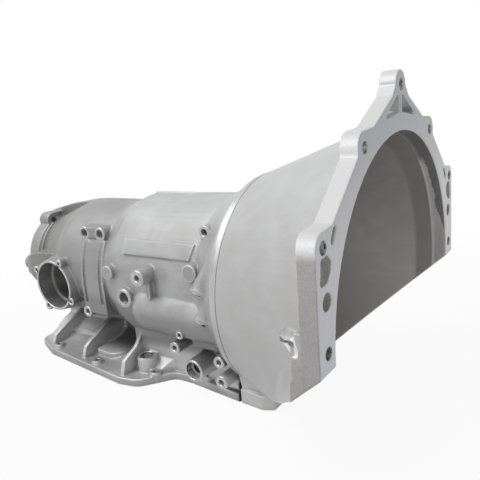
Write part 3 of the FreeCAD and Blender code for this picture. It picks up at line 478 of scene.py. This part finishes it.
def bell_material():
    shader = Shader(bpy.data.materials.new("cast_bell_metal"))
    shader.coordinates()
    tone, rough, normal = cast_surface(shader, 0.49, 0.54)
    # Painted light: the sides of the foot are paler, and the cone is paler and cooler towards its
    # top
    tone = shader.mix(shader.ramp(shader.z, -0.09, -0.105, 0.0, 0.4), tone, grey(0.72, 0.01))
    tone = shader.mix(shader.ramp(shader.z, 0.06, 0.17, 0.0, 0.4), tone, grey(0.68, -0.012))
    tone = heel_recess(shader, tone)
    sawn = sawn_sides(shader)
    tone = shader.mix(sawn, tone, sawn_metal(shader))
    # The engine face is milled flat, with painted shade darker towards its top
    face = shader.both(
        shader.facing(shader.nx), shader.ramp(shader.x, ENGINE_FACE - 0.0025, ENGINE_FACE - 0.001))
    lines = shader.noise(700, 2, 0.5, (1.0, 1.0, 0.03))
    milled = shader.mix(
        shader.ramp(lines, 0.3, 0.7), (0.43, 0.44, 0.46, 1), (0.46, 0.47, 0.49, 1))
    face_shade = shader.ramp(shader.z, 0.08, 0.2, 0.0, 0.75)
    tone = shader.mix(face, tone, shader.mix(face_shade, milled, (0.26, 0.27, 0.29, 1)))
    tone = bell_within(shader, tone)
    rough = shader.mix(sawn, rough, SAWN_ROUGHNESS, "FLOAT")
    rough = shader.mix(face, rough, MILLED_ROUGHNESS, "FLOAT")
    metallic = shader.mix(face, 0.3, 0.85, "FLOAT")
    shader.join(joint_seam(shader, tone), shader.surface.inputs["Base Color"])
    shader.join(rough, shader.surface.inputs["Roughness"])
    shader.join(metallic, shader.surface.inputs["Metallic"])
    shader.join(normal, shader.surface.inputs["Normal"])
    return shader.owner


# Turned metal

def ring_material():
    """Bright turned aluminium with fine lines round the ring."""
    shader = Shader(bpy.data.materials.new("turned_ring"))
    shader.coordinates()
    lines = shader.noise(1400, 2, 0.6, (1.0, 0.02, 0.02))
    patch = shader.noise(25, 3)
    tone = shader.mix(shader.ramp(lines, 0.35, 0.65), grey(0.34), grey(0.6))
    tone = shader.mix(shader.ramp(patch, 0.4, 0.65, 0.0, 0.4), tone, grey(0.64))
    shader.join(tone, shader.surface.inputs["Base Color"])
    shader.join(shader.ramp(lines, 0.3, 0.7, 0.36, 0.5), shader.surface.inputs["Roughness"])
    shader.join(shader.bump(lines, 0.0002, 0.4), shader.surface.inputs["Normal"])
    shader.surface.inputs["Metallic"].default_value = 0.5
    return shader.owner


def turned_metal(name, level, warm=0.0, rough=0.35, stretch=(1.0, 0.2, 0.2)):
    """Plain turned metal with slight stains. The stretch is small across its turning axis."""
    shader = Shader(bpy.data.materials.new(name))
    shader.coordinates()
    rings = shader.noise(1100, 2, 0.5, stretch)
    stain = shader.noise(120, 3)
    tone = shader.mix(shader.ramp(rings, 0.3, 0.7), grey(level * 0.85, warm), grey(level, warm))
    stained = shader.ramp(stain, 0.45, 0.75, 0.0, 0.35)
    tone = shader.mix(stained, tone, grey(level * 0.5, warm + 0.02))
    shader.join(tone, shader.surface.inputs["Base Color"])
    rough = shader.ramp(stain, 0.3, 0.7, rough - 0.06, rough + 0.12)
    shader.join(rough, shader.surface.inputs["Roughness"])
    shader.join(shader.bump(rings, 0.0001, 0.5), shader.surface.inputs["Normal"])
    shader.surface.inputs["Metallic"].default_value = 0.8
    return shader.owner


# Castings with soft edges

def add_bar(build, outline, start, end):
    """A bar along x, from the (y, z) corners of its end. All in mm."""
    back, front = [
        [build.verts.new((x / 1000, y / 1000, z / 1000)) for y, z in outline]
        for x in (start, end)]
    faces = [build.faces.new(back), build.faces.new(front)]
    for index, corner in enumerate(back):
        side = (back[index - 1], corner, front[index], front[index - 1])
        faces.append(build.faces.new(side))
    bmesh.ops.recalc_face_normals(build, faces=faces)


def add_arc(build, low, high, first, last, start, end):
    """A bar along x round the shaft, between two radii in mm and two angles from +y."""
    angles = [math.radians(step) for step in range(first, last + 1, 2)]
    outline = [(high * math.cos(angle), high * math.sin(angle)) for angle in angles]
    outline += [(low * math.cos(angle), low * math.sin(angle)) for angle in reversed(angles)]
    add_bar(build, outline, start, end)


def case_bars(build):
    """The thin ring round the neck, and the ground of the arch below the twin ports."""
    add_arc(build, 66, 72.6, 122, 172, -386.4, -383.2)
    ground = [
        (-78, 35), (-90.0, 35), (-88.5, 40), (-84.0, 50), (-81.0, 50.6), (-79.5, 56), (-78, 56),
    ]
    add_bar(build, ground, -251, -233)


def bell_bars(build):
    """The slanted web between the ring and the foot, and the shoulder behind the heel."""
    add_bar(build, [(-80, -118), (-90, -118), (-90.8, -115), (-96, -93.6), (-88, -100)], 3.2, 10.6)
    add_bar(build, [(-80, -118), (-90, -118), (-90.8, -115), (-99, -96), (-90, -103)], 10.4, 32)
    add_bar(build, [(-84, -118), (-91, -118), (-91.5, -115), (-97, -105), (-91.5, -110.5)], 31.8, 46)
    shoulder = [(-187, -16), (-210.4, -16), (-210.4, 0), (-208.7, 9), (-192, 9)]
    add_bar(build, shoulder, 145, SHOULDER_END * 1000)


def shown_mesh(draft):
    """The mesh of a draft object with its modifiers applied. The draft is deleted."""
    scene.collection.objects.link(draft)
    evaluated = draft.evaluated_get(bpy.context.evaluated_depsgraph_get())
    mesh = bpy.data.meshes.new_from_object(evaluated)
    bpy.data.objects.remove(draft)
    return mesh


def rounded_mesh(node, add_bars):
    """The casting as a close even mesh whose edges and inner corners are rounded as cast."""
    build = bmesh.new()
    build.from_mesh(nodes[node].data)
    add_bars(build)
    base = bpy.data.meshes.new("base")
    build.to_mesh(base)
    build.free()
    draft = bpy.data.objects.new("draft", base)
    remesh = draft.modifiers.new("remesh", "REMESH")
    remesh.mode = "VOXEL"
    remesh.voxel_size = FINE_VOXEL
    relax = draft.modifiers.new("relax", "SMOOTH")
    relax.factor = 0.5
    relax.iterations = SMOOTHING_ROUNDS
    return shown_mesh(draft)


def centres(mesh):
    """The middle of each face, as columns of x, y and z."""
    middle = np.empty(len(mesh.polygons) * 3, dtype=np.float32)
    mesh.polygons.foreach_get("center", middle)
    return middle.reshape(-1, 3).T


def add_piece(name, mesh, metals):
    for polygon in mesh.polygons:
        polygon.use_smooth = True
    for metal in metals:
        mesh.materials.append(metal)
    piece = bpy.data.objects.new(name, mesh)
    scene.collection.objects.link(piece)
    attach(piece, "root")
    return piece


def part_of(mesh, chosen, name, most, metal):
    """The chosen faces as a piece of their own, thinned to at most so many triangles."""
    corners = np.empty(len(mesh.polygons) * 4, dtype=np.int32)
    mesh.polygons.foreach_get("vertices", corners)
    faces = corners.reshape(-1, 4)[chosen]
    used, faces = np.unique(faces, return_inverse=True)
    places = np.empty(len(mesh.vertices) * 3, dtype=np.float32)
    mesh.vertices.foreach_get("co", places)
    part = bpy.data.meshes.new(name)
    part.from_pydata(places.reshape(-1, 3)[used].tolist(), [], faces.reshape(-1, 4).tolist())
    part.validate()
    draft = bpy.data.objects.new("draft", part)
    thin = draft.modifiers.new("thin", "DECIMATE")
    thin.ratio = min(1.0, most / (2 * len(part.polygons)))
    thinned = shown_mesh(draft)
    thinned.name = name
    return add_piece(name, thinned, [metal])


def soft_casting(node, name, mesh, within, cast_metal):
    """Replaces a casting by two pieces: its outside, and the bored surfaces within."""
    shell = part_of(mesh, ~within, name, SHELL_TRIANGLES, cast_metal())
    bores = part_of(mesh, within, name + "_bores", BORE_TRIANGLES, cast_metal())
    for piece in (shell, bores):
        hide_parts(node)


def soft_case():
    mesh = rounded_mesh("main_case", case_bars)
    x, y, z = centres(mesh)
    radius = np.hypot(y, z)
    within = radius < np.where(x > CLUTCH_BORE_END, WIDE_BORE, GEAR_BORE)
    within &= (x > -0.388) & (x < -0.001) & (z > RING_CUT)
    # The rear wall and the bore through it
    within |= (radius < 0.06) & (x < -0.37) & (x > REAR_FACE + 0.0015)
    soft_casting("main_case", "case", mesh, within, case_material)


def soft_bell():
    mesh = rounded_mesh("bell_housing", bell_bars)
    x, y, z = centres(mesh)
    cone = CONE_ROOT + (x - CONE_START) * CONE_OPENING / CONE_LENGTH
    within = (np.hypot(y, z) < cone + 0.003) & (x > 0.0015) & (x < LIP_BACK + 0.0025)
    soft_casting("bell_housing", "bell", mesh, within, bell_material)


def dress(node, metal, bevel):
    """A CAD node that stays, with its own material and fine broken edges."""
    item = nodes[node]
    item.data.materials.clear()
    item.data.materials.append(metal)
    edge = item.modifiers.new("edge", "BEVEL")
    edge.width = bevel
    edge.segments = 2
    edge.limit_method = "ANGLE"
    edge.angle_limit = math.radians(40)


# Machined mouths of the holes

def mouth(name, place, axis, profile, metals, segments=48, lowest=-1.0):
    """A turned skin round a hole's mouth, from (radius, height out of the mouth) corners in mm.

    The first metal is for the mouth, and the second for the wall below the mouth's depth.
    What lies below the lowest level is left open.
    """
    turn = Vector(axis).normalized().to_track_quat("Z", "Y").to_matrix()
    build = bmesh.new()
    rings = []
    for radius, height in profile:
        ring = []
        for step in range(segments):
            angle = 2 * math.pi * step / segments
            point = Vector((radius * math.cos(angle), radius * math.sin(angle), height)) / 1000
            ring.append(build.verts.new(turn @ point + Vector(place)))
        rings.append(ring)
    rim = max(range(len(profile)), key=lambda corner: profile[corner][1])
    for row, (outer, inner) in enumerate(zip(rings, rings[1:])):
        for step in range(segments):
            after = (step + 1) % segments
            corners = (outer[step], outer[after], inner[after], inner[step])
            if min(corner.co.z for corner in corners) < lowest:
                continue
            face = build.faces.new(corners)
            face.material_index = int(row > rim and profile[row + 1][1] < -MOUTH_DEPTH)
    unused = [vertex for vertex in build.verts if not vertex.link_faces]
    bmesh.ops.delete(build, geom=unused, context="VERTS")
    mesh = bpy.data.meshes.new(name)
    build.to_mesh(mesh)
    build.free()
    piece = add_piece(name, mesh, metals)
    mesh.set_sharp_from_angle(angle=math.radians(35))


def face_rim(boss, hole, lead=MOUTH_DEPTH):
    """The turned face round a hole: its outer rounding, the flat, and the lead-in."""
    return [
        (boss - 0.1, -1.3), (boss - 0.3, -0.5), (boss - 0.9, 0.12), (hole + lead, 0.12),
        (hole, -lead),
    ]


def threads(hole, depth, pitch=1.0):
    """Thread crests and roots down a hole, whose radius is the thread's outer one."""
    crest = hole - 0.6
    root = hole - 0.05
    profile = []
    level = -MOUTH_DEPTH
    while level > -depth:
        profile += [(root, level), (crest, level - pitch / 2)]
        level -= pitch
    return profile + [(crest, level), (0.05, level - 2.0)]


def port_mouths(mounts, metals):
    for name, boss in BOSSES.items():
        mount = mounts[name]
        hole = mount["dims"]["r_mm"]
        length = mount["dims"]["length_mm"]
        # The mount's place lies half its length below the mouth, and at most 5 mm
        out = Vector(mount["axis"]) * min(length, 10) / 2000
        profile = face_rim(boss, hole, WIDE_LEADS.get(name, MOUTH_DEPTH)) + threads(hole, length)
        mouth(name + "_thread", Vector(mount["pos_m"]) + out, mount["axis"], profile, metals)


def pan_hole_mouths(mounts, metals):
    """The pan bolts' holes, which come out on top of the rail's pads."""
    for name, mount in mounts.items():
        if not name.startswith("pan_hole"):
            continue
        hole = mount["dims"]["r_mm"]
        top = Vector((mount["pos_m"][0], mount["pos_m"][1], PAD_TOP))
        wall = [
            (hole - 0.05 - 0.5 * (step % 2), -MOUTH_DEPTH - 0.5 * step) for step in range(29)]
        profile = face_rim(8.0, hole, 0.4) + wall
        mouth(name + "_thread", top, UP, profile, metals, segments=32)


def governor_mouths(mounts, cut, bored):
    governor = mounts["governor_bolts"]
    middle = Vector(governor["pos_m"])
    reach = governor["dims"]["pcd_mm"] / 2000
    first_angle = 59.5
    for index in range(4):
        angle = math.radians(first_angle + 90 * index)
        place = middle + Vector((math.cos(angle), 0, math.sin(angle))) * reach
        profile = face_rim(6.2, 2.7, 0.4) + threads(2.7, 16, 0.8)
        name = f"governor_thread_{index + 1}"
        mouth(name, place, NEAR, profile, (cut, bored), segments=32)
    honed = turned_metal("honed_aluminium", 0.42, rough=0.45, stretch=CROSSWISE)
    mouth("governor_rim", middle, NEAR, GOVERNOR_RIM, (cut, honed), segments=128)


def case_mouths(cut, bored):
    # The bored metal of the hole walls is dark: painted shade in the holes
    metals = (cut, bored)
    mounts = {mount["name"]: mount for mount in frame["record"]["mounts"]}
    port_mouths(mounts, metals)
    pan_hole_mouths(mounts, metals)
    governor_mouths(mounts, cut, bored)
    mouth("filler_rim", (-0.154, -0.091, -0.1025), UP, FILLER_RIM, metals)
    mouth("modulator_rim", (-0.054, -0.112, -0.0947), NEAR, MODULATOR_RIM, metals)
    # The two tilted bosses behind the ring: places and boss radius in mm
    tilted = ((-26, -120, 10.5, 11.8), (-25.5, -117.5, -26, 11.2))
    for index, (x, y, z, boss) in enumerate(tilted, start=2):
        profile = face_rim(boss, 4) + threads(4, 12)
        place = Vector((x, y, z)) / 1000
        mouth(f"ring_thread_{index}", place, (-0.1, -0.8, -0.6), profile, metals)


def bell_mouths(cut):
    """The turned ring band, the cone's rear edge, and the bolt and dowel holes of the flange."""
    joint = (0, 0, 0)
    turned = ring_material()
    # The cone's rear edge is painted dark, as a line of shade against the ring
    edge_shade_metal = turned_metal("cone_edge_shade", 0.3)
    # The bolt holes' walls are dark: painted shade in the holes
    drilled_shade = turned_metal("drilled_aluminium_shade", 0.13, warm=0.02, rough=0.5)
    mouth("ring_band", joint, FORWARD, RING_BAND, (turned, turned), 256, RING_CUT)
    mouth("cone_edge", joint, FORWARD, CONE_EDGE, (edge_shade_metal, edge_shade_metal), 256, RING_CUT)
    # Each hole's y and z, its radius in mm, and the metal of its wall
    holes = [(0, 0.225, 5.4, drilled_shade)]
    for side in (-1, 1):
        holes += [
            (side * 0.1012, 0.1719, 5.4, drilled_shade), (side * 0.1937, 0.1027, 5.4, drilled_shade),
            (side * 0.1924, 0.0107, 5.4, drilled_shade), (side * 0.1902, 0.0556, 8.0, cut)]
    for index, (y, z, hole, wall) in enumerate(holes, start=1):
        profile = [
            (hole + 1.6, -0.3), (hole + 1.4, 0.06), (hole + 0.9, 0.06), (hole - 0.05, -0.9),
            (hole - 0.05, -17.8)]
        place = (ENGINE_FACE, y, z)
        mouth(f"engine_hole_{index}", place, FORWARD, profile, (cut, wall), 40)


# Stage

def stage():
    """A wide floor that is white to the camera and takes the object's shadow near it."""
    mesh = bpy.data.meshes.new("floor")
    build = bmesh.new()
    bmesh.ops.create_circle(build, cap_ends=True, radius=30, segments=64)
    build.to_mesh(mesh)
    build.free()
    floor = bpy.data.objects.new("floor", mesh)
    floor.location.z = cad_low.z - 0.0002
    scene.collection.objects.link(floor)
    shader = Shader(bpy.data.materials.new("floor"))
    shader.surface.inputs["Base Color"].default_value = (0.7, 0.7, 0.7, 1)
    shader.surface.inputs["Roughness"].default_value = 0.9
    shader.surface.inputs["Specular IOR Level"].default_value = 0.0
    glow = shader.node("ShaderNodeEmission")
    glow.inputs["Color"].default_value = WHITE
    glow.inputs["Strength"].default_value = 1.0
    reach = shader.node("ShaderNodeVectorMath", operation="LENGTH")
    shader.join(shader.node("ShaderNodeTexCoord").outputs["Object"], reach.inputs[0])
    fade = shader.ramp(reach.outputs["Value"], 0.4, 1.0, 0.93, 1.0)
    blend = shader.node("ShaderNodeMixShader")
    shader.join(shader.both(background_rays(shader), fade), blend.inputs[0])
    shader.join(shader.surface.outputs[0], blend.inputs[1])
    shader.join(glow.outputs[0], blend.inputs[2])
    shader.join(blend.outputs[0], shader.tree.nodes["Material Output"].inputs["Surface"])
    mesh.materials.append(shader.owner)


def world():
    """Soft light all round, which the rays that show the background see as white."""
    scene.world = bpy.data.worlds.new("studio")
    shader = Shader(scene.world)
    back = shader.tree.nodes["Background"]
    back.inputs["Color"].default_value = WHITE
    strength = shader.ramp(background_rays(shader), 0.0, 1.0, 0.3, 1.0)
    shader.join(strength, back.inputs["Strength"])


def lamp(name, direction, strength, angle):
    """A broad far lamp that shines from a direction. Its angle is in degrees."""
    data = bpy.data.lights.new(name, "SUN")
    data.energy = strength
    data.angle = math.radians(angle)
    item = bpy.data.objects.new(name, data)
    item.rotation_mode = "QUATERNION"
    item.rotation_quaternion = Vector(direction).to_track_quat("Z", "Y")
    scene.collection.objects.link(item)


photo_camera()
stage()
world()
lamp("key", direction=(-0.3, -0.38, 0.87), strength=1.95, angle=40)
scene.view_settings.view_transform = "Standard"

soft_case()
soft_bell()
cut_aluminium = turned_metal("cut_aluminium", 0.54, rough=0.38, stretch=(0.1, 1.0, 0.1))
# The walls of the case's holes past their mouths are dark: painted shade in the holes
bored_aluminium_shade = turned_metal("bored_aluminium_shade", 0.17, 0.02, 0.45, CROSSWISE)
case_mouths(cut_aluminium, bored_aluminium_shade)
bell_mouths(cut_aluminium)

plated_steel = turned_metal("plated_steel", 0.5)
for number in range(1, 10):
    dress(f"joint_bolt_{number:02d}", plated_steel, BOLT_EDGE)
ground_steel = turned_metal("ground_steel", 0.55, rough=0.25)
for number in (1, 2):
    dress(f"joint_dowel_{number}", ground_steel, FINE_EDGE)
bearing_bronze = turned_metal("bearing_bronze", 0.5, warm=0.3, rough=0.3)
dress("rear_bushing", bearing_bronze, FINE_EDGE)
